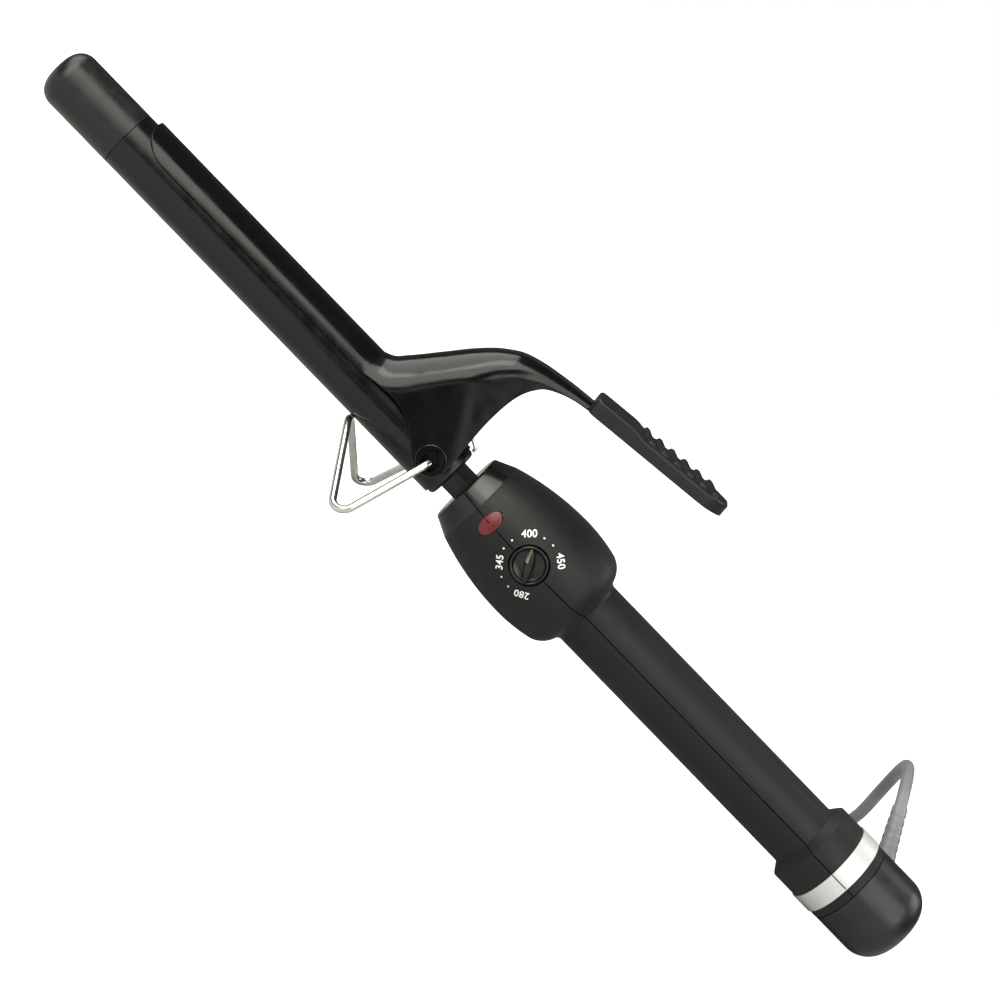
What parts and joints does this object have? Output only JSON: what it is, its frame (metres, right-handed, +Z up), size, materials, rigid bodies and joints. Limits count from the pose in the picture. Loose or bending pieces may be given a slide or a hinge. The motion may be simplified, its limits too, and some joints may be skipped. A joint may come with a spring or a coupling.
{
  "type": "curling iron",
  "caption": "Spring-clip curling iron with cool tip, thumb lever, swing-out wire stand, turning heat dial and swivel cord, standing on its wire.",
  "frame": {"origin": "on the table, under the middle of the iron's own box, the free cord and its boot left out", "axes": "+X from the cool tip to the swivel cord end along the table, +Y away from the side that carries the dial, +Z up; the barrel's axis is tilted down 3.93 degrees towards +X, because the iron rests on its wire stand and its end cap"},
  "size_m": [0.3666, 0.1508, 0.0781],
  "materials": {
    "barrel_coating": "gloss black fired coating on steel tube",
    "clip_coating": "gloss black fired coating on bent sheet steel",
    "gloss_black_plastic": "polished black heat-resistant moulding",
    "matte_black_plastic": "soft-touch black moulding",
    "ivory_plastic": "natural insulating moulding",
    "silver_finish": "satin silver coating",
    "bright_wire": "bright nickel plated steel wire",
    "plain_steel": "plain pressed steel",
    "rivet_steel": "black coated steel rivet",
    "spreader_alloy": "extruded, as drawn",
    "ceramic": "white fired ceramic heater",
    "contact_brass": "plain brass",
    "board_laminate": "green printed circuit laminate with parts",
    "lead_insulation": "woven sleeve insulation",
    "lens_red": "translucent red moulding",
    "lamp_glass": "clear lamp envelope",
    "cord_jacket": "black flexible vinyl jacket",
    "blade_nickel": "nickel plated blades"
  },
  "bodies": {
    "iron": {"barrel_tube": "barrel_coating", "tip_cap": "gloss_black_plastic", "heater_core": "ceramic", "heat_spreader_upper": "spreader_alloy", "heat_spreader_lower": "spreader_alloy", "thermistor": "ceramic", "base_bracket": "plain_steel", "base_collar": "gloss_black_plastic", "pivot_rivets": "rivet_steel", "clamp_spring": "bright_wire", "spring_pin": "plain_steel", "spring_bracket": "plain_steel", "support_stem": "plain_steel", "neck_sleeve": "gloss_black_plastic", "front_cap_upper": "gloss_black_plastic", "front_cap_lower": "gloss_black_plastic", "handle_upper_shell": "matte_black_plastic", "handle_lower_shell": "matte_black_plastic", "shell_screws": "plain_steel", "potentiometer": "plain_steel", "circuit_board": "board_laminate", "indicator_lens": "lens_red", "neon_lamp": "lamp_glass", "heater_leads": "lead_insulation", "supply_leads": "lead_insulation", "trim_ring": "silver_finish", "brush_contacts": "contact_brass"},
    "clamp": {"clamp_lever": "clip_coating", "thumb_rest": "matte_black_plastic", "thumb_rest_base": "matte_black_plastic", "thumb_rest_screws": "plain_steel"},
    "stand": {"stand_wire": "bright_wire"},
    "dial": {"dial_knob": "gloss_black_plastic", "dial_shaft": "ivory_plastic"},
    "swivel": {"swivel_cap": "gloss_black_plastic", "swivel_spool": "ivory_plastic", "contact_rings": "contact_brass", "strain_relief": "cord_jacket", "cord": "cord_jacket", "cord_hank": "cord_jacket", "cord_tie": "cord_jacket", "plug_body": "cord_jacket", "plug_blades": "blade_nickel"}
  },
  "joints": [
    {"name": "clamp_hinge", "type": "hinge", "parent": "iron", "child": "clamp", "pos_m": [-0.02214, 0, 0.02798], "axis": [0, 1, 0], "range_deg": [0, 22], "stiffness_Nm_per_rad": 0.45, "springref_deg": -34.38, "deforming": ["clamp_spring"]},
    {"name": "stand_hinge", "type": "hinge", "parent": "iron", "child": "stand", "pos_m": [-0.02214, 0, 0.02798], "axis": [0, 1, 0], "range_deg": [-105, 0]},
    {"name": "dial_turn", "type": "hinge", "parent": "iron", "child": "dial", "pos_m": [0.02022, -0.018, 0.02588], "axis": [0, -1, 0], "range_deg": [-68, 179.5]},
    {"name": "swivel_turn", "type": "hinge", "parent": "iron", "child": "swivel", "pos_m": [0.16742, 0, 0.01497], "axis": [0.9977, 0, -0.0685], "continuous": true}
  ]
}
